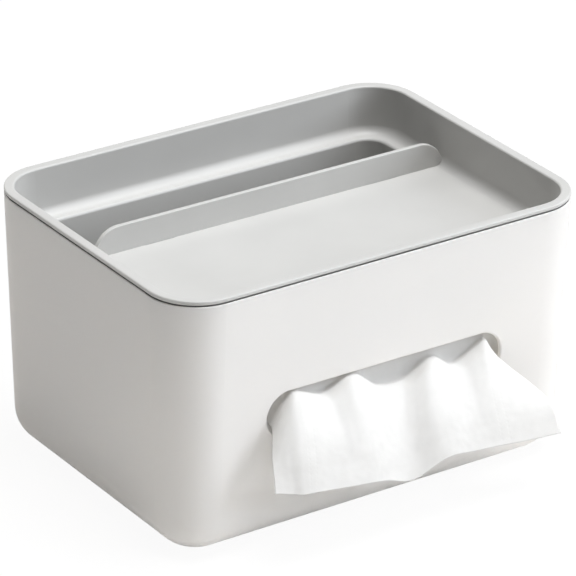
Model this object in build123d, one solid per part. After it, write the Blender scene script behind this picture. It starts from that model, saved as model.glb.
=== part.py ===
from build123d import *
import os
from math import cos, radians, sin, tan

# Desk box that gives out tissues through a front slot and carries a lift-out
# organizer tray in its open top. Millimetres, +Z up, front face towards -Y.
# The origin is under the middle of the box, on the surface that it stands on.

# Outer box, whose sides draw in towards its rounded base
box_width = 200.0
box_depth = 147.0
body_height = 116.6
corner_radius = 21.8
side_draft = 1.85
box_wall = 2.2
base_thickness = 2.6
base_edge_radius = 16.7
box_edge_round = 0.5

# Tissue slot in the front wall
slot_length = 114.6
slot_height = 21.0
slot_centre_height = 56.5
slot_edge_round = 0.8

# Foot pads, half sunk in the underside
foot_diameter = 14.0
foot_thickness = 1.6
foot_proud = 0.8
foot_inset = 9.0
foot_edge_round = 0.3

# Tray rim, which rests on the box with a shadow gap along its outer edge
rim_width = 4.35
rim_thickness = 1.9
rim_outer_round = 0.6
rim_lower_round = 0.8
rim_inner_round = 0.9
seam_gap = 0.5
seam_depth = 1.5
tray_clearance = 0.35

# Shallow basin of the tray
basin_depth = 21.6
basin_floor = 2.0
basin_round = 4.0

# Deep pocket at the back of the tray, with a ledge of the basin's floor round it
pocket_width = 36.0
pocket_end_ledge = 7.5
pocket_back_ledge = 5.6
pocket_floor_gap = 12.2
pocket_wall = 1.8
pocket_draft = 1.0
pocket_corner_radius = 9.0
pocket_floor_round = 4.0
pocket_mouth_round = 1.4

# Divider plate, which stands in two floor slots in front of the pocket
divider_height = 11.7
divider_thickness = 2.0
divider_pocket_gap = 0.85
divider_left_gap = 16.3
divider_end_gap = 0.6
divider_edge_round = 0.35
tab_width = 14.0
tab_length = 3.4
tab_inset = 31.0
tab_clearance = 0.15

# Stack of folded tissues, which stands on its long edge behind the slot
stack_width = 140.0
stack_top_gap = 4.4
stack_back_gap = 7.6
stack_edge_round = 11.6

# Leading tissue, drawn out of the stack and hanging in front of the slot
tissue_thickness = 0.8
tissue_end_gap = 2.3
tissue_top_gap = 1.7
tissue_flare = 21.0
tissue_hem_shift = 5.5
tissue_reach = 20.5
tissue_drop = 31.6
tissue_fold = 3.9
tissue_stack_gap = 0.4

# One overrun serves all cuts
cut_overrun = 3.0

# Each station of the tissue, as shares of its reach, drop, widening, fold and turn downwards
tissue_station_shares = {
    "slot": (0.05, 0.00, 0.00, 1.00, 0.00),
    "brow": (0.52, 0.12, 0.30, 0.95, 0.38),
    "fall": (0.90, 0.46, 0.62, 0.80, 0.78),
    "hem": (1.00, 1.00, 1.00, 0.85, 1.00),
}
# Folds from left to right, as shares of half the width and of the fold, up or out where positive
fold_place_shares = (-0.79, -0.52, -0.25, 0.10, 0.42, 0.68, 0.90)
fold_height_shares = (1.00, -0.45, 0.95, -1.00, 0.90, -0.70, 0.80)
left_end_share = -0.85
right_end_share = -1.00
tail_fold_share = 0.5
hang_angle = 90.0

# Where an edge is sampled, and the largest part of its direction that still counts as across
middle_share = 0.5
across_share = 0.5

# Heights and places that follow from the sizes above
underside_z = foot_proud
floor_top_z = underside_z + base_thickness
rim_top_z = underside_z + body_height
seat_z = rim_top_z - rim_thickness - seam_gap
basin_floor_z = rim_top_z - basin_depth
basin_underside_z = basin_floor_z - basin_floor
pocket_underside_z = floor_top_z + pocket_floor_gap
pocket_floor_z = pocket_underside_z + pocket_wall
box_height = seat_z - underside_z
slot_z = underside_z + slot_centre_height

draft_slope = tan(radians(side_draft))
front_y = -box_depth / 2 + (seat_z - slot_z) * draft_slope
floor_draw_in = box_wall + (seat_z - floor_top_z) * draft_slope
floor_round = base_edge_radius - base_thickness
basin_wall_x = box_width / 2 - rim_width - basin_depth * draft_slope
basin_wall_y = box_depth / 2 - rim_width - basin_depth * draft_slope

pocket_length = 2 * (basin_wall_x - pocket_end_ledge)
pocket_middle = basin_wall_y - pocket_back_ledge - pocket_width / 2
pocket_outer_front = pocket_middle - pocket_width / 2 - pocket_wall
divider_back = pocket_outer_front - divider_pocket_gap
divider_middle = divider_back - divider_thickness / 2
divider_left = divider_left_gap - basin_wall_x
divider_right = basin_wall_x - divider_end_gap
tab_places = (divider_left + tab_inset, divider_right - tab_inset)

stack_front_y = -box_depth / 2 + floor_draw_in + floor_round - stack_edge_round
stack_thickness = pocket_outer_front - stack_back_gap - stack_front_y
stack_height = basin_underside_z - stack_top_gap - floor_top_z
tissue_slot_width = slot_length - 2 * tissue_end_gap
tissue_z = slot_z + slot_height / 2 - tissue_top_gap - tissue_thickness - tissue_fold


def drafted_block(width, depth, radius, top_z, bottom_z, draft):
    """Rounded rectangle at top_z that draws in by the draft angle down to bottom_z."""
    outline = Pos(0, 0, top_z) * RectangleRounded(width, depth, radius)
    return extrude(outline, top_z - bottom_z, dir=(0, 0, -1), taper=draft)


def box_block(inset, top_z, bottom_z):
    """Block that follows the outer box's sides, set in from them by the inset."""
    return drafted_block(
        box_width - 2 * inset,
        box_depth - 2 * inset,
        corner_radius - inset,
        top_z,
        bottom_z,
        side_draft,
    )


def rim_plate(inset, bottom_z, thickness):
    """Flat plate of the box's plan, set in by the inset."""
    outline = RectangleRounded(box_width - 2 * inset, box_depth - 2 * inset, corner_radius - inset)
    return extrude(Pos(0, 0, bottom_z) * outline, thickness)


def lowest_edges(block):
    return block.edges().group_by(Axis.Z)[0]


def highest_edges(block):
    return block.edges().group_by(Axis.Z)[-1]


def runs_across(edge):
    """Whether an edge runs across the depth rather than from front to back."""
    return abs(edge.tangent_at(middle_share).Y) < across_share


def foot_places():
    """Centres of the four foot pads, by name, on the flat of the underside."""
    draw_in = box_height * draft_slope + base_edge_radius + foot_inset
    x = box_width / 2 - draw_in
    y = box_depth / 2 - draw_in
    return {
        "front_left": (-x, -y),
        "front_right": (x, -y),
        "back_left": (-x, y),
        "back_right": (x, y),
    }


def make_slot_cut():
    """Stadium-shaped prism through the front wall."""
    inner_y = front_y + box_wall + cut_overrun
    outer_y = -box_depth / 2 - cut_overrun
    face = Plane((0, inner_y, slot_z), x_dir=(1, 0, 0), z_dir=(0, -1, 0))
    return extrude(face * SlotOverall(slot_length, slot_height), inner_y - outer_y)


def slot_rim_edges(shell):
    """Edges that run round the slot on the wall's outer and inner faces."""
    wall_span = slot_height * draft_slope + box_wall
    found = []
    for edge in shell.edges():
        middle = edge.center()
        near_wall = abs(middle.Y - front_y) < wall_span
        in_height = abs(middle.Z - slot_z) < slot_height
        in_length = abs(middle.X) < slot_length / 2
        if near_wall and in_height and in_length and runs_across(edge):
            found.append(edge)
    return found


def make_outer_box():
    outer = box_block(0, seat_z, underside_z)
    outer = fillet(lowest_edges(outer), base_edge_radius)
    outer = fillet(highest_edges(outer), box_edge_round)
    hollow = box_block(box_wall, seat_z, floor_top_z)
    hollow = fillet(lowest_edges(hollow), floor_round)
    shell = outer - hollow - make_slot_cut()
    shell = fillet(slot_rim_edges(shell), slot_edge_round)
    sink = foot_thickness - foot_proud
    for x, y in foot_places().values():
        recess = Pos(x, y, underside_z) * Circle(foot_diameter / 2)
        shell -= extrude(recess, sink)
    return shell


def make_foot_pad(place):
    x, y = place
    pad = extrude(Pos(x, y, 0) * Circle(foot_diameter / 2), foot_thickness)
    return fillet(lowest_edges(pad), foot_edge_round)


def pocket_block(wall, bottom_z):
    """Block of the pocket's plan, grown by the wall, from the basin's floor down to bottom_z."""
    block = drafted_block(
        pocket_length + 2 * wall,
        pocket_width + 2 * wall,
        pocket_corner_radius + wall,
        basin_floor_z,
        bottom_z,
        pocket_draft,
    )
    block = fillet(lowest_edges(block), pocket_floor_round + wall)
    return Pos(0, pocket_middle, 0) * block


def pocket_mouth_edges(tray):
    """Edges where the basin's floor turns down into the pocket."""
    found = []
    for edge in tray.edges().filter_by_position(Axis.Z, basin_floor_z, basin_floor_z):
        middle = edge.center()
        in_length = abs(middle.X) <= pocket_length / 2
        in_width = abs(middle.Y - pocket_middle) <= pocket_width / 2
        if in_length and in_width:
            found.append(edge)
    return found


def rim_inner_edges(tray):
    """Edges where the rim's top turns down into the basin."""
    half_width = box_width / 2 - rim_width
    half_depth = box_depth / 2 - rim_width
    found = []
    for edge in highest_edges(tray):
        middle = edge.center()
        if abs(middle.X) <= half_width and abs(middle.Y) <= half_depth:
            found.append(edge)
    return found


def make_tab_slot(x):
    """Slot through the basin's floor for one of the divider's tabs."""
    size_x = tab_width + 2 * tab_clearance
    size_y = divider_thickness + 2 * tab_clearance
    opening = Pos(x, divider_middle, basin_underside_z - cut_overrun) * Rectangle(size_x, size_y)
    return extrude(opening, basin_floor + 2 * cut_overrun)


def make_organizer_tray():
    rim = rim_plate(0, rim_top_z - rim_thickness, rim_thickness)
    rim = fillet(highest_edges(rim), rim_outer_round)
    rim = fillet(lowest_edges(rim), rim_lower_round)
    seat = rim_plate(seam_depth, seat_z, seam_gap)
    basin = box_block(box_wall + tray_clearance, seat_z, basin_underside_z)
    basin_wall = rim_width - box_wall - tray_clearance
    basin = fillet(lowest_edges(basin), basin_round + basin_wall)
    basin_hollow = box_block(rim_width, rim_top_z, basin_floor_z)
    basin_hollow = fillet(lowest_edges(basin_hollow), basin_round)
    pocket = pocket_block(pocket_wall, pocket_underside_z)
    pocket_hollow = pocket_block(0, pocket_floor_z)

    tray = rim + seat + basin + pocket - basin_hollow - pocket_hollow
    tray = fillet(pocket_mouth_edges(tray), pocket_mouth_round)
    tray = fillet(rim_inner_edges(tray), rim_inner_round)
    for x in tab_places:
        tray -= make_tab_slot(x)
    return tray


def make_divider():
    """Plate with quarter-round ends, trimmed to the basin's rounded foot, and its two tabs."""
    top_z = basin_floor_z + divider_height
    left_foot = (divider_left, basin_floor_z)
    right_foot = (divider_right, basin_floor_z)
    left_crown = (divider_left + divider_height, top_z)
    right_crown = (divider_right - divider_height, top_z)
    outline = [
        RadiusArc(left_foot, left_crown, divider_height),
        Line(left_crown, right_crown),
        RadiusArc(right_crown, right_foot, divider_height),
        Line(right_foot, left_foot),
    ]
    face = Plane((0, divider_back, 0), x_dir=(1, 0, 0), z_dir=(0, -1, 0))
    plate = extrude(face * make_face(outline), divider_thickness)
    crown = []
    for edge in plate.edges():
        if edge.center().Z > basin_floor_z and runs_across(edge):
            crown.append(edge)
    plate = fillet(crown, divider_edge_round)
    room = box_block(rim_width + divider_end_gap, rim_top_z, basin_floor_z)
    plate &= fillet(lowest_edges(room), basin_round)
    for x in tab_places:
        tab = Pos(x, divider_middle, basin_floor_z) * Rectangle(tab_width, divider_thickness)
        plate += extrude(tab, tab_length, dir=(0, 0, -1))
    return plate


def make_tissue_stack():
    middle_y = stack_front_y + stack_thickness / 2
    footprint = Pos(0, middle_y, floor_top_z) * Rectangle(stack_width, stack_thickness)
    stack = extrude(footprint, stack_height)
    return fillet(stack.edges(), stack_edge_round)


def tissue_section(plane, width, shift, fold):
    """Thin wavy band across the tissue: one arc through each fold, closed by the same arcs above."""
    half = width / 2
    crests = []
    for place, height in zip(fold_place_shares, fold_height_shares):
        crests.append((shift + place * half, height * fold))
    turns = [(shift - half, left_end_share * fold)]
    for (x0, h0), (x1, h1) in zip(crests, crests[1:]):
        turns.append(((x0 + x1) / 2, (h0 + h1) / 2))
    turns.append((shift + half, right_end_share * fold))

    lower = []
    upper = []
    for arc in zip(turns, crests, turns[1:]):
        raised = [(x, height + tissue_thickness) for x, height in arc]
        lower.append(ThreePointArc(*arc))
        upper.append(ThreePointArc(*raised))
    left = Line(lower[0] @ 0, upper[0] @ 0)
    right = Line(lower[-1] @ 1, upper[-1] @ 1)
    return plane * make_face(lower + upper + [left, right])


def make_pulled_tissue():
    """Wavy sheet lofted from the stack through the slot, over its brow and down to its hem."""
    tail_y = stack_front_y - tissue_stack_gap
    tail = Plane((0, tail_y, tissue_z), x_dir=(1, 0, 0), z_dir=(0, -1, 0))
    sections = [tissue_section(tail, tissue_slot_width, 0, tail_fold_share * tissue_fold)]
    for reach, drop, widening, fold, turn in tissue_station_shares.values():
        origin = (0, front_y - reach * tissue_reach, tissue_z - drop * tissue_drop)
        tilt = radians(turn * hang_angle)
        plane = Plane(origin, x_dir=(1, 0, 0), z_dir=(0, -cos(tilt), -sin(tilt)))
        width = tissue_slot_width + widening * tissue_flare
        shift = widening * tissue_hem_shift
        sections.append(tissue_section(plane, width, shift, fold * tissue_fold))
    return loft(sections)


def main():
    os.makedirs("parts", exist_ok=True)
    parts = {
        "outer_box": make_outer_box(),
        "organizer_tray": make_organizer_tray(),
        "divider": make_divider(),
        "tissue_stack": make_tissue_stack(),
        "pulled_tissue": make_pulled_tissue(),
    }
    for name, place in foot_places().items():
        parts["foot_pad_" + name] = make_foot_pad(place)
    for name, solid in parts.items():
        export_step(solid, os.path.join("parts", name + ".step"))


main()
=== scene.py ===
"""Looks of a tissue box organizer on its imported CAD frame. Metres, +Z up, front face towards -Y."""
import math

import bpy
from mathutils import Matrix, Vector, noise


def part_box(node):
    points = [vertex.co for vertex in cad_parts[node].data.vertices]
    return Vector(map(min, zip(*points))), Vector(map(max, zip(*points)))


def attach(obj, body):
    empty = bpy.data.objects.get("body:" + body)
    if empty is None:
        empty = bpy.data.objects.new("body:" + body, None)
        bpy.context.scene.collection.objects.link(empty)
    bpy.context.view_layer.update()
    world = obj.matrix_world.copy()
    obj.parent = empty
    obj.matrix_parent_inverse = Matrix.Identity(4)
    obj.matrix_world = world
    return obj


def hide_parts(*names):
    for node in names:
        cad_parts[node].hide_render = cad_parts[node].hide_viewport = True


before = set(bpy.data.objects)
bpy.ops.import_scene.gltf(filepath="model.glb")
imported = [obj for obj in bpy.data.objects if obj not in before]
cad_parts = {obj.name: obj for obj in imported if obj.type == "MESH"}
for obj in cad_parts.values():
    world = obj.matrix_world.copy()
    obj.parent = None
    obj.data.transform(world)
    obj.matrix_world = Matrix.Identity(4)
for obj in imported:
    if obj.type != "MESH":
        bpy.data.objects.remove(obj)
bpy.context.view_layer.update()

MM = 0.001

# Camera, read from the rim's and the slot's lines; angles in degrees, lens and sensor in millimetres
CAMERA_AZIMUTH = -34.51
CAMERA_ELEVATION = 25.87
CAMERA_ROLL = 0.891
CAMERA_DISTANCE = 1.8198
CAMERA_TARGET = (0.00168, 0.00115, 0.07041)
CAMERA_LENS = 275.9
CAMERA_SENSOR = 36.0
CAMERA_NEAR = 0.05
CAMERA_FAR = 30.0

# Light level: a lamp of this strength, one metre away, lights a surface that faces it at level 1.0
LAMP_UNIT = math.pi * math.pi
# Point that all lamps face
LAMP_AIM = (0.0, 0.0, 0.06)

# Flat width and length of the leading tissue
SHEET_FLAT = (0.140, 0.060)


def srgb(red, green, blue):
    """Linear colour of an 8-bit screen colour."""
    channels = []
    for value in (red, green, blue):
        share = value / 255
        channels.append(share / 12.92 if share <= 0.04045 else ((share + 0.055) / 1.055) ** 2.4)
    return (*channels, 1.0)


# Node materials

# Most of a noise lies between these values, so tones are spread over them
NOISE_LOW = 0.3
NOISE_HIGH = 0.7
WHITE = (1.0, 1.0, 1.0, 1.0)


class Nodes:
    """Small helper that adds nodes to one material and links them."""

    def __init__(self, name):
        self.material = bpy.data.materials.new(name)
        self.material.use_nodes = True
        self.tree = self.material.node_tree
        self.tree.nodes.clear()
        self.output = self.tree.nodes.new("ShaderNodeOutputMaterial")
        self.shader = self.tree.nodes.new("ShaderNodeBsdfPrincipled")
        self.link(self.shader.outputs["BSDF"], self.output.inputs["Surface"])

    def add(self, kind, **settings):
        node = self.tree.nodes.new(kind)
        for key, value in settings.items():
            setattr(node, key, value)
        return node

    def link(self, source, target):
        self.tree.links.new(source, target)

    def put(self, value, socket):
        """Sets a socket to a number, or links another socket to it."""
        if isinstance(value, (int, float)):
            socket.default_value = value
        else:
            self.link(value, socket)

    def math(self, operation, first, second=None):
        node = self.add("ShaderNodeMath", operation=operation)
        self.put(first, node.inputs[0])
        if second is not None:
            self.put(second, node.inputs[1])
        return node.outputs["Value"]

    def parts(self, vector):
        """Sockets of a vector's X, Y and Z."""
        node = self.add("ShaderNodeSeparateXYZ")
        self.link(vector, node.inputs["Vector"])
        return node.outputs["X"], node.outputs["Y"], node.outputs["Z"]

    def noise(self, vector, scale, detail=2.0, roughness=0.5):
        node = self.add("ShaderNodeTexNoise")
        node.inputs["Scale"].default_value = scale
        node.inputs["Detail"].default_value = detail
        node.inputs["Roughness"].default_value = roughness
        self.link(vector, node.inputs["Vector"])
        return node.outputs["Fac"]

    def spread(self, value, low, high, from_low=0.0, from_high=1.0, smooth=False):
        node = self.add("ShaderNodeMapRange")
        if smooth:
            node.interpolation_type = "SMOOTHSTEP"
        node.inputs["From Min"].default_value = from_low
        node.inputs["From Max"].default_value = from_high
        node.inputs["To Min"].default_value = low
        node.inputs["To Max"].default_value = high
        self.link(value, node.inputs["Value"])
        return node.outputs["Result"]

    def tone(self, cloud, dark, light):
        """Colour that a noise moves between a dark and a light tone."""
        node = self.add("ShaderNodeValToRGB")
        low, high = node.color_ramp.elements
        low.position = NOISE_LOW
        low.color = dark
        high.position = NOISE_HIGH
        high.color = light
        self.link(cloud, node.inputs["Fac"])
        return node.outputs["Color"]

    def bump(self, height, strength, distance, below=None):
        node = self.add("ShaderNodeBump")
        node.inputs["Strength"].default_value = strength
        node.inputs["Distance"].default_value = distance
        self.link(height, node.inputs["Height"])
        if below is not None:
            self.link(below, node.inputs["Normal"])
        return node.outputs["Normal"]

    def mix_in(self, share, other):
        """Mixes another shader into the surface; the share is a number or a socket."""
        both = self.add("ShaderNodeMixShader")
        self.put(share, both.inputs["Fac"])
        self.link(self.shader.outputs["BSDF"], both.inputs[1])
        self.link(other, both.inputs[2])
        self.link(both.outputs["Shader"], self.output.inputs["Surface"])

    def let_through(self, cloud, share, dark, light):
        """Lets a share of the light through the surface."""
        passed = self.add("ShaderNodeBsdfTranslucent")
        self.link(self.tone(cloud, dark, light), passed.inputs["Color"])
        self.mix_in(share, passed.outputs["BSDF"])


# Plastic: a face counts as level from the first upward share of its normal, fully from the second
LEVEL_SHARES = (0.90, 0.97)
# Share of the light that comes through the white walls
THROUGH_SHARE = 0.42
# The level top of the box's wall, on which the tray rests, lies above this height; it is painted darker,
# as painted shade in the seam under the tray's rim
SEAT_HEIGHT = 114.9 * MM


def seam_shade_mask(n, place, height):
    """Mask that is 1 on level faces above a height and 0 elsewhere, which marks where shade is painted
    into the seam under the tray's rim.
    """
    place_z = n.parts(place)[2]
    normal_z = n.parts(n.add("ShaderNodeNewGeometry").outputs["True Normal"])[2]
    level = n.spread(normal_z, 0.0, 1.0, *LEVEL_SHARES)
    return n.math("MULTIPLY", n.math("GREATER_THAN", place_z, height), level)


def moulded_plastic(name, dark, light, rough_low, rough_high, grain_strength, through=None, seam_shade=None):
    """Moulded plastic: faint cloudy tone, uneven sheen and a fine spark-eroded grain.

    With through, a share and two colours, some of the light comes through the thin wall.
    With a height and a colour for painted shade in the seam, level faces above that height are painted
    darker, as the shade under the tray's rim, and let none through.
    """
    n = Nodes(name)
    place = n.add("ShaderNodeTexCoord").outputs["Object"]
    cloud = n.noise(place, scale=22.0, detail=3.0)
    colour = n.tone(cloud, dark, light)
    clear = None
    # Painted shade in the seam: level tops above the height take the darker colour
    if seam_shade is not None:
        seat_height, seam_shade_colour = seam_shade
        seam_shaded = seam_shade_mask(n, place, seat_height)
        blend = n.add("ShaderNodeMix", data_type="RGBA")
        n.link(seam_shaded, blend.inputs["Factor"])
        n.link(colour, blend.inputs["A"])
        blend.inputs["B"].default_value = seam_shade_colour
        colour = blend.outputs["Result"]
        clear = n.math("SUBTRACT", 1.0, seam_shaded)
    n.link(colour, n.shader.inputs["Base Color"])
    patch = n.noise(place, scale=85.0, detail=4.0, roughness=0.6)
    n.link(n.spread(patch, rough_low, rough_high, NOISE_LOW, NOISE_HIGH), n.shader.inputs["Roughness"])
    grain = n.noise(place, scale=2600.0)
    fine = n.bump(grain, strength=grain_strength, distance=0.06 * MM)
    flow = n.noise(place, scale=30.0, detail=1.0)
    n.link(n.bump(flow, strength=0.05, distance=0.8 * MM, below=fine), n.shader.inputs["Normal"])
    n.shader.inputs["Specular IOR Level"].default_value = 0.42
    if through is not None:
        share, through_dark, through_light = through
        # Where the seam's shade is painted, no light comes through the wall
        if clear is not None:
            share = n.math("MULTIPLY", clear, share)
        n.let_through(cloud, share, through_dark, through_light)
    return n.material


def soft_rubber(name, dark, light):
    """Matt rubber with a mottled tone and a grain."""
    n = Nodes(name)
    place = n.add("ShaderNodeTexCoord").outputs["Object"]
    cloud = n.noise(place, scale=400.0, detail=4.0, roughness=0.65)
    n.link(n.tone(cloud, dark, light), n.shader.inputs["Base Color"])
    n.link(n.spread(cloud, low=0.62, high=0.8), n.shader.inputs["Roughness"])
    grain = n.noise(place, scale=3200.0)
    n.link(n.bump(grain, strength=0.25, distance=0.1 * MM), n.shader.inputs["Normal"])
    return n.material


# Tissue: share of the light that comes through a single sheet, and how its crepe is drawn out across it
SHEET_THROUGH_SHARE = 0.38
CREPE_STRETCH = (0.25, 1.0, 1.0)
# Rows of dots by their distance from a side edge, the dots' step, and a dot's flat and outer radius
DOT_ROWS = (18.5 * MM, 21.8 * MM)
DOT_STEP = 1.9 * MM
DOT_RADII = (0.3 * MM, 0.7 * MM)


def dotted_border(n, flat_place, width):
    """Height of the dots that are pressed in along the side edges of a sheet of that width."""
    across, along, _ = n.parts(flat_place)
    from_edge = n.math("MINIMUM", across, n.math("SUBTRACT", width, across))
    in_step = n.math("FRACT", n.math("DIVIDE", along, DOT_STEP))
    off_step = n.math("MULTIPLY", n.math("ABSOLUTE", n.math("SUBTRACT", in_step, 0.5)), DOT_STEP)
    dots = None
    for row in DOT_ROWS:
        off_row = n.math("ABSOLUTE", n.math("SUBTRACT", from_edge, row))
        squared = n.math("ADD", n.math("POWER", off_row, 2.0), n.math("POWER", off_step, 2.0))
        dot = n.spread(n.math("SQRT", squared), 1.0, 0.0, *DOT_RADII, smooth=True)
        dots = dot if dots is None else n.math("MAXIMUM", dots, dot)
    return n.math("MULTIPLY", dots, -1.0)


def tissue_paper(name, dark, light, sheet_width=None):
    """Soft two-ply paper; with a width in metres, a single creped sheet with embossed side borders."""
    n = Nodes(name)
    coords = n.add("ShaderNodeTexCoord")
    place = coords.outputs["Object"]
    cloud = n.noise(place, scale=160.0, detail=4.0, roughness=0.6)
    n.link(n.tone(cloud, dark, light), n.shader.inputs["Base Color"])
    n.shader.inputs["Roughness"].default_value = 0.92
    n.shader.inputs["Specular IOR Level"].default_value = 0.12
    n.shader.inputs["Sheen Weight"].default_value = 0.15
    n.shader.inputs["Sheen Roughness"].default_value = 0.6
    fibre = n.noise(place, scale=1500.0, detail=3.0, roughness=0.6)
    relief = n.bump(fibre, strength=0.25, distance=0.08 * MM)
    if sheet_width is not None:
        n.let_through(cloud, SHEET_THROUGH_SHARE, dark, light)
        flat_place = coords.outputs["UV"]
        stretch = n.add("ShaderNodeMapping")
        stretch.inputs["Scale"].default_value = CREPE_STRETCH
        n.link(flat_place, stretch.inputs["Vector"])
        crepe = n.noise(stretch.outputs["Vector"], scale=2200.0, roughness=0.55)
        relief = n.bump(crepe, strength=0.3, distance=0.1 * MM, below=relief)
        pressed = dotted_border(n, flat_place, sheet_width)
        relief = n.bump(pressed, strength=0.15, distance=0.2 * MM, below=relief)
    n.link(relief, n.shader.inputs["Normal"])
    return n.material


white_plastic = moulded_plastic(
    "white_matte_plastic",
    dark=srgb(249, 249, 249),
    light=srgb(252, 252, 252),
    rough_low=0.44,
    rough_high=0.54,
    grain_strength=0.12,
    through=(THROUGH_SHARE, srgb(253, 248, 240), srgb(254, 249, 242)),
    # Painted shade: the wall's top, seen in the seam under the tray's rim, is mid grey
    seam_shade=(SEAT_HEIGHT, srgb(130, 130, 129)),
)
grey_plastic = moulded_plastic(
    "grey_satin_plastic",
    dark=srgb(183, 182, 179),
    light=srgb(188, 187, 184),
    rough_low=0.38,
    rough_high=0.48,
    grain_strength=0.10,
)
rubber = soft_rubber("foot_rubber", dark=srgb(168, 168, 166), light=srgb(186, 186, 184))
sheet_paper = tissue_paper(
    "tissue_sheet_paper",
    dark=srgb(234, 233, 231),
    light=srgb(238, 237, 235),
    sheet_width=SHEET_FLAT[0],
)
stack_paper = tissue_paper("tissue_stack_paper", dark=srgb(236, 236, 235), light=srgb(241, 241, 240))


def dress(node, material):
    """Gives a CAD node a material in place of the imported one."""
    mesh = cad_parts[node].data
    mesh.materials.clear()
    mesh.materials.append(material)
    for face in mesh.polygons:
        face.material_index = 0


dress("outer_box", white_plastic)
dress("organizer_tray", grey_plastic)
dress("divider", grey_plastic)
for corner in ("front_left", "front_right", "back_left", "back_right"):
    dress("foot_pad_" + corner, rubber)


# Mesh helpers


def make_piece(name, points, faces, material):
    """Smooth-shaded mesh object in the scene."""
    mesh = bpy.data.meshes.new(name)
    mesh.from_pydata(points, [], faces)
    mesh.materials.append(material)
    for face in mesh.polygons:
        face.use_smooth = True
    mesh.update()
    piece = bpy.data.objects.new(name, mesh)
    bpy.context.scene.collection.objects.link(piece)
    return piece


def grid_faces(rows, columns):
    """Quads of a grid of points that are listed row by row."""
    faces = []
    for r in range(rows - 1):
        for c in range(columns - 1):
            at = r * columns + c
            faces.append((at, at + 1, at + columns + 1, at + columns))
    return faces


def smooth_line(knots, values, place):
    """Value at a place on the smooth line through values at knots; values may be vectors."""
    last = len(knots) - 1
    i = 0
    while i < last - 1 and place > knots[i + 1]:
        i += 1
    span = knots[i + 1] - knots[i]
    t = (place - knots[i]) / span

    def slope(k):
        before = max(k - 1, 0)
        after = min(k + 1, last)
        return (values[after] - values[before]) / (knots[after] - knots[before])

    # Weights of a cubic Hermite curve
    a = 2 * t**3 - 3 * t**2 + 1
    b = t**3 - 2 * t**2 + t
    c = -2 * t**3 + 3 * t**2
    d = t**3 - t**2
    return values[i] * a + slope(i) * (b * span) + values[i + 1] * c + slope(i + 1) * (d * span)


def uneven(u, v, waves):
    """Noise from -1 to 1 at a place, the same on each run; waves are two scales and an offset."""
    u_scale, v_scale, offset = waves
    return noise.noise(Vector((u * u_scale, v * v_scale, offset)))


# Leading tissue, as fold lines from the slot to the hem, in millimetres.
# Each has x in the slot, half-way and at the hem, z in the slot, y and z at the hem, and how taut it is.
FOLDS = {
    "left_edge": (-55.0, -61.8, -64.2, 53.2, -87.9, 34.0, 0.0),
    "left_roll": (-50.4, -56.0, -56.6, 61.6, -89.6, 32.4, 0.0),
    "left_ridge": (-45.0, -50.0, -52.0, 66.4, -91.4, 31.6, 0.0),
    "left_valley": (-30.1, -31.6, -35.0, 61.8, -92.4, 30.0, 0.0),
    "middle_ridge": (-16.3, -20.6, -20.6, 66.5, -92.2, 28.0, 0.0),
    "middle_belly": (-3.7, -9.2, -11.8, 57.8, -91.4, 26.1, 0.0),
    "main_valley": (9.1, 2.8, 2.2, 57.0, -89.5, 21.7, 0.0),
    "third_ridge": (22.2, 15.0, 17.4, 63.2, -91.4, 28.0, 0.0),
    "right_valley": (34.5, 33.4, 32.8, 57.2, -90.6, 26.6, 0.1),
    "right_ridge": (48.2, 44.6, 46.4, 63.8, -90.8, 25.4, 0.3),
    "right_belly": (50.6, 57.0, 61.0, 62.0, -91.2, 24.2, 0.7),
    "right_edge": (51.4, 67.4, 74.8, 59.6, -91.6, 23.2, 1.0),
}
SLOT_Y = -71.6
# Behind the slot each line climbs half-way to one height at the front of the stack: that height,
# and y and the share of the climb at three stations, the first one at the stack
TAIL_AIM_Z = 92.0
TAIL_Y = [-65.7, -66.2, -68.4]
TAIL_CLIMB_SHARES = [1.0, 0.62, 0.08]
# Stations from the slot to the hem, and how far a line has come out, and down, at each
STATION_SHARES = [0.0, 0.14, 0.36, 0.58, 0.80, 1.0]
REACH_SHARES = [0.0, 0.23, 0.53, 0.76, 0.90, 1.0]
FALL_SHARES = [0.0, 0.06, 0.27, 0.53, 0.78, 1.0]
TAUT_FALL_SHARES = [0.0, 0.17, 0.39, 0.55, 0.72, 1.0]
# Places of the three x values of a line on its way from the slot to the hem
X_PLACE_SHARES = [0.0, 0.46, 1.0]
# Share of the sheet's length up to each station behind the slot, and up to the slot
TAIL_SHARES = [0.0, 0.14, 0.26]
SLOT_SHARE = 0.36
# The paper between two lines is shared out by their distance at this point of the lines
SPACING_POINT = 5
SHEET_ROWS = 120
SHEET_COLUMNS = 210
SHEET_THICKNESS = 0.22 * MM

# Crumple of the sheet: waves across and along it, and how far it pushes the paper, in millimetres
STREAK_WAVES = (34.0, 2.2, 3.7)
STREAK_PUSH = 0.30
CRUMPLE_WAVES = (15.0, 8.0, 11.3)
CRUMPLE_PUSH = 0.17
SMALL_WAVES = (44.0, 22.0, 5.1)
SMALL_PUSH = 0.05
RAGGED_WAVES = (9.0, 0.0, 8.8)
RAGGED_PUSH = 0.3
# Along the sheet: where streaks are strongest, where crumple starts and how soon it is full, and the hem
GATHER_SHARE = 0.40
CRUMPLE_START_SHARE = 0.18
CRUMPLE_RISE_SHARE = 0.12
HEM_SHARE = 0.96
# A push goes out of the front, and up by this share of it
UPWARD_SHARE = 0.6


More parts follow.
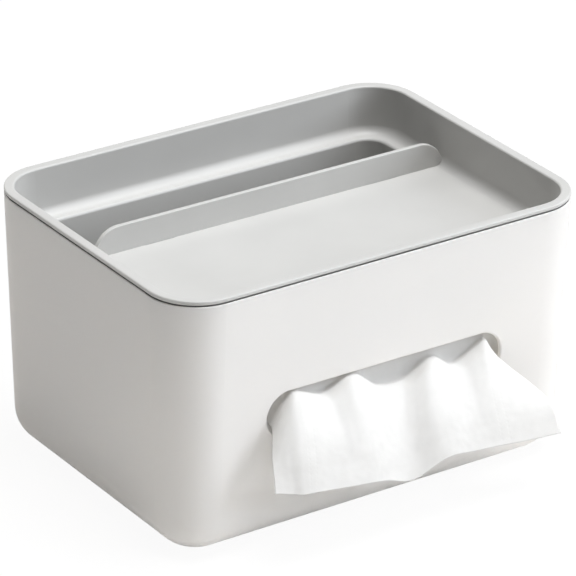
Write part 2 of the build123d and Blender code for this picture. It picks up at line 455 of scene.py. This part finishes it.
def fold_lines():
    """Points of each fold line, in metres: three behind the slot, then the stations to the hem."""
    stations = list(zip(STATION_SHARES, REACH_SHARES, FALL_SHARES, TAUT_FALL_SHARES))
    lines = []
    for x_slot, x_half, x_hem, z_slot, y_hem, z_hem, taut in FOLDS.values():
        climb = (z_slot + TAIL_AIM_Z) / 2 - z_slot
        line = []
        for y, share in zip(TAIL_Y, TAIL_CLIMB_SHARES):
            line.append(Vector((x_slot, y, z_slot + climb * share)) * MM)
        for share, reach, slack_fall, taut_fall in stations:
            fall = slack_fall + (taut_fall - slack_fall) * taut
            x = smooth_line(X_PLACE_SHARES, [x_slot, x_half, x_hem], share)
            y = SLOT_Y + (y_hem - SLOT_Y) * reach
            z = z_slot + (z_hem - z_slot) * fall
            line.append(Vector((x, y, z)) * MM)
        lines.append(line)
    return lines


def crumple_push(u, v):
    """How far the crumple pushes the paper at a place on the sheet."""
    gather = max(0.0, 1.0 - abs(v - GATHER_SHARE) / GATHER_SHARE)
    streak = uneven(u, v, STREAK_WAVES) * STREAK_PUSH * gather
    crumple = uneven(u, v, CRUMPLE_WAVES) * CRUMPLE_PUSH
    small = uneven(u, v, SMALL_WAVES) * SMALL_PUSH
    free = min(1.0, max(0.0, v - CRUMPLE_START_SHARE) / CRUMPLE_RISE_SHARE)
    return (streak + crumple + small) * MM * free


def sheet_points():
    """Grid of points over the tissue, its crumple included, and their flat places."""
    lines = fold_lines()
    spans = [(b[SPACING_POINT] - a[SPACING_POINT]).length for a, b in zip(lines, lines[1:])]
    knots_u = [sum(spans[:k]) / sum(spans) for k in range(len(lines))]
    knots_v = TAIL_SHARES + [SLOT_SHARE + (1.0 - SLOT_SHARE) * share for share in STATION_SHARES]
    points = []
    flat = []
    for r in range(SHEET_ROWS):
        v = r / (SHEET_ROWS - 1)
        across = [smooth_line(knots_v, line, v) for line in lines]
        for c in range(SHEET_COLUMNS):
            u = c / (SHEET_COLUMNS - 1)
            push = crumple_push(u, v)
            point = smooth_line(knots_u, across, u) + Vector((0.0, -push, push * UPWARD_SHARE))
            if v > HEM_SHARE:
                ragged = uneven(u, v, RAGGED_WAVES) * RAGGED_PUSH * MM
                point.z += ragged * (v - HEM_SHARE) / (1.0 - HEM_SHARE)
            points.append(point)
            flat.append((u * SHEET_FLAT[0], v * SHEET_FLAT[1]))
    return points, flat


def make_leading_tissue():
    """Thin sheet whose UV places are those of the flat tissue."""
    points, flat = sheet_points()
    faces = grid_faces(SHEET_ROWS, SHEET_COLUMNS)
    piece = make_piece("leading_tissue", points, faces, sheet_paper)
    layer = piece.data.uv_layers.new(name="flat")
    for loop in piece.data.loops:
        layer.data[loop.index].uv = flat[loop.vertex_index]
    solid = piece.modifiers.new("thickness", "SOLIDIFY")
    solid.thickness = SHEET_THICKNESS
    solid.offset = 0.0
    return piece


leading_tissue = make_leading_tissue()
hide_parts("pulled_tissue")
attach(leading_tissue, "box")


# Stack of folded tissues: layers that stand on edge, each a flattened loop of paper
STACK_LAYERS = 46
STACK_EDGE_ROUND = 11.6 * MM
LAYER_RING = 18
LAYER_STEPS = 36
# Half of a layer's thickness, and its sway, as shares of the layers' pitch
LAYER_HALF_SHARE = 0.47
LAYER_SWAY_SHARE = 0.25
# The most by which a layer falls short at its top and at its ends, and dips along its top
LAYER_DROP = 1.1 * MM
LAYER_SHORT = 1.3 * MM
LAYER_DIP = 0.8 * MM
# Gap under the layers
LAYER_LIFT = 0.02 * MM
# Waves of the unevenness: three from layer to layer, then two along a layer and from layer to layer
DROP_WAVES = (0.83, 1.7, 0.0)
LEFT_WAVES = (1.31, 4.2, 0.0)
RIGHT_WAVES = (1.17, 9.6, 0.0)
SWAY_WAVES = (5.0, 0.6, 2.0)
DIP_WAVES = (4.0, 0.7, 7.0)
# A power below 1 squares the section of a layer's folded edge
LAYER_EDGE_POWER = 0.55


def round_inset(depth, radius):
    """How far a rounded edge draws in at a depth behind the face."""
    short = min(max(radius - depth, 0.0), radius)
    return radius - math.sqrt(radius * radius - short * short)


def layer_points(k, low, high, pitch):
    """Rings of points along layer k, from its left end to its right."""
    middle_y = low.y + (k + 0.5) * pitch
    half = pitch * LAYER_HALF_SHARE
    drop = abs(uneven(k, 1.0, DROP_WAVES)) * LAYER_DROP
    inset = round_inset(min(middle_y - low.y, high.y - middle_y), STACK_EDGE_ROUND)
    x_low = low.x + inset + abs(uneven(k, 1.0, LEFT_WAVES)) * LAYER_SHORT
    x_high = high.x - inset - abs(uneven(k, 1.0, RIGHT_WAVES)) * LAYER_SHORT
    points = []
    for s in range(LAYER_STEPS):
        share = 0.5 - 0.5 * math.cos(math.pi * s / (LAYER_STEPS - 1))
        x = x_low + (x_high - x_low) * share
        corner = inset + round_inset(min(x - x_low, x_high - x), STACK_EDGE_ROUND - inset)
        sway = uneven(share, k, SWAY_WAVES) * LAYER_SWAY_SHARE * pitch
        dip = abs(uneven(share, k, DIP_WAVES)) * LAYER_DIP
        top = high.z - corner - drop - dip
        bottom = low.z + corner + LAYER_LIFT
        for i in range(LAYER_RING):
            angle = 2 * math.pi * i / LAYER_RING
            side = math.copysign(abs(math.cos(angle)) ** LAYER_EDGE_POWER, math.cos(angle))
            height = math.sin(angle)
            flat_end = (bottom + half) if height < 0 else (top - half)
            y = middle_y + side * half + sway * (0.5 + 0.5 * height)
            z = flat_end + height * half
            points.append(Vector((x, min(max(y, low.y), high.y), z)))
    return points


def layer_faces(start):
    """Faces round a layer whose rings begin at a point's number, and one at each end."""
    faces = []
    for s in range(LAYER_STEPS - 1):
        a = start + s * LAYER_RING
        b = a + LAYER_RING
        for i in range(LAYER_RING):
            j = (i + 1) % LAYER_RING
            faces.append((a + i, b + i, b + j, a + j))
    last = start + (LAYER_STEPS - 1) * LAYER_RING
    faces.append(tuple(start + i for i in range(LAYER_RING)))
    faces.append(tuple(last + i for i in reversed(range(LAYER_RING))))
    return faces


def make_folded_tissues():
    """All layers of the stack, in the form of its CAD block."""
    low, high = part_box("tissue_stack")
    pitch = (high.y - low.y) / STACK_LAYERS
    points = []
    faces = []
    for k in range(STACK_LAYERS):
        faces.extend(layer_faces(len(points)))
        points.extend(layer_points(k, low, high, pitch))
    return make_piece("folded_tissues", points, faces, stack_paper)


folded_tissues = make_folded_tissues()
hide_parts("tissue_stack")
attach(folded_tissues, "box")


# Floor, which looks white and keeps a soft shadow
FLOOR_HALF = 6.0
FLOOR_WHITE_SHARE = 0.94


def make_floor():
    """Pale floor that is lit as a floor, but that the camera sees as nearly white."""
    n = Nodes("pale_floor")
    place = n.add("ShaderNodeTexCoord").outputs["Object"]
    cloud = n.noise(place, scale=3.0)
    n.link(n.tone(cloud, srgb(236, 234, 231), srgb(240, 238, 235)), n.shader.inputs["Base Color"])
    n.shader.inputs["Roughness"].default_value = 0.9
    n.shader.inputs["Specular IOR Level"].default_value = 0.1
    path = n.add("ShaderNodeLightPath")
    # Light that a wall or sheet scatters through itself doesn't count as looking at the floor
    not_scattered = n.math("SUBTRACT", 1.0, path.outputs["Is Diffuse Ray"])
    looked_through = n.math("MULTIPLY", path.outputs["Is Transmission Ray"], not_scattered)
    mirrored = n.math("MAXIMUM", path.outputs["Is Glossy Ray"], looked_through)
    seen = n.math("MAXIMUM", path.outputs["Is Camera Ray"], mirrored)
    glow = n.add("ShaderNodeEmission")
    glow.inputs["Color"].default_value = WHITE
    glow.inputs["Strength"].default_value = 1.0
    n.mix_in(n.math("MULTIPLY", seen, FLOOR_WHITE_SHARE), glow.outputs["Emission"])
    signs = [(-1, -1), (1, -1), (1, 1), (-1, 1)]
    corners = [Vector((x * FLOOR_HALF, y * FLOOR_HALF, 0.0)) for x, y in signs]
    floor = make_piece("floor", corners, [(0, 1, 2, 3)], n.material)


make_floor()


# Lights


def add_lamp(name, direction, distance, width, height, level, colour):
    """Rectangular lamp in a direction from the object that lights a surface facing it at that level."""
    data = bpy.data.lights.new(name, "AREA")
    data.shape = "RECTANGLE"
    data.size = width
    data.size_y = height
    data.energy = level * LAMP_UNIT * distance * distance
    data.color = colour
    lamp = bpy.data.objects.new(name, data)
    away = Vector(direction).normalized()
    lamp.location = Vector(LAMP_AIM) + away * distance
    lamp.rotation_mode = "QUATERNION"
    lamp.rotation_quaternion = away.to_track_quat("Z", "Y")
    bpy.context.scene.collection.objects.link(lamp)


add_lamp(
    "overhead",
    direction=(0.12, -0.15, 0.981),
    distance=2.4,
    width=1.2,
    height=1.2,
    level=1.27,
    colour=(0.985, 0.995, 1.01),
)
add_lamp(
    "back_fill",
    direction=(-0.10, 0.90, 0.42),
    distance=2.6,
    width=1.6,
    height=1.5,
    level=0.30,
    colour=(1.0, 0.995, 0.99),
)
add_lamp(
    "front_right",
    direction=(0.662, -0.596, 0.454),
    distance=2.6,
    width=1.6,
    height=1.5,
    level=0.74,
    colour=(0.945, 0.99, 1.055),
)


def make_world():
    """Faint warm light from all round; the camera sees white."""
    world = bpy.data.worlds.new("studio")
    bpy.context.scene.world = world
    world.use_nodes = True
    tree = world.node_tree
    tree.nodes.clear()
    surround = tree.nodes.new("ShaderNodeBackground")
    surround.inputs["Color"].default_value = (1.0, 0.98, 0.96, 1.0)
    surround.inputs["Strength"].default_value = 0.05
    seen_white = tree.nodes.new("ShaderNodeBackground")
    seen_white.inputs["Color"].default_value = WHITE
    seen_white.inputs["Strength"].default_value = 1.0
    path = tree.nodes.new("ShaderNodeLightPath")
    mix = tree.nodes.new("ShaderNodeMixShader")
    tree.links.new(path.outputs["Is Camera Ray"], mix.inputs["Fac"])
    tree.links.new(surround.outputs["Background"], mix.inputs[1])
    tree.links.new(seen_white.outputs["Background"], mix.inputs[2])
    output = tree.nodes.new("ShaderNodeOutputWorld")
    tree.links.new(mix.outputs["Shader"], output.inputs["Surface"])


make_world()


# Camera


def add_camera():
    """Camera on a sphere round its target, rolled a little about its own axis."""
    azimuth = math.radians(CAMERA_AZIMUTH)
    elevation = math.radians(CAMERA_ELEVATION)
    back = Vector(
        (
            math.sin(azimuth) * math.cos(elevation),
            -math.cos(azimuth) * math.cos(elevation),
            math.sin(elevation),
        )
    )
    data = bpy.data.cameras.new("photo_view")
    data.lens = CAMERA_LENS
    data.sensor_width = CAMERA_SENSOR
    data.clip_start = CAMERA_NEAR
    data.clip_end = CAMERA_FAR
    camera = bpy.data.objects.new("photo_view", data)
    camera.location = Vector(CAMERA_TARGET) + back * CAMERA_DISTANCE
    camera.rotation_mode = "QUATERNION"
    level = (-back).to_track_quat("-Z", "Y").to_matrix()
    roll = Matrix.Rotation(math.radians(CAMERA_ROLL), 3, "Z")
    camera.rotation_quaternion = (level @ roll).to_quaternion()
    bpy.context.scene.collection.objects.link(camera)
    bpy.context.scene.camera = camera


add_camera()
bpy.context.scene.view_settings.view_transform = "Standard"
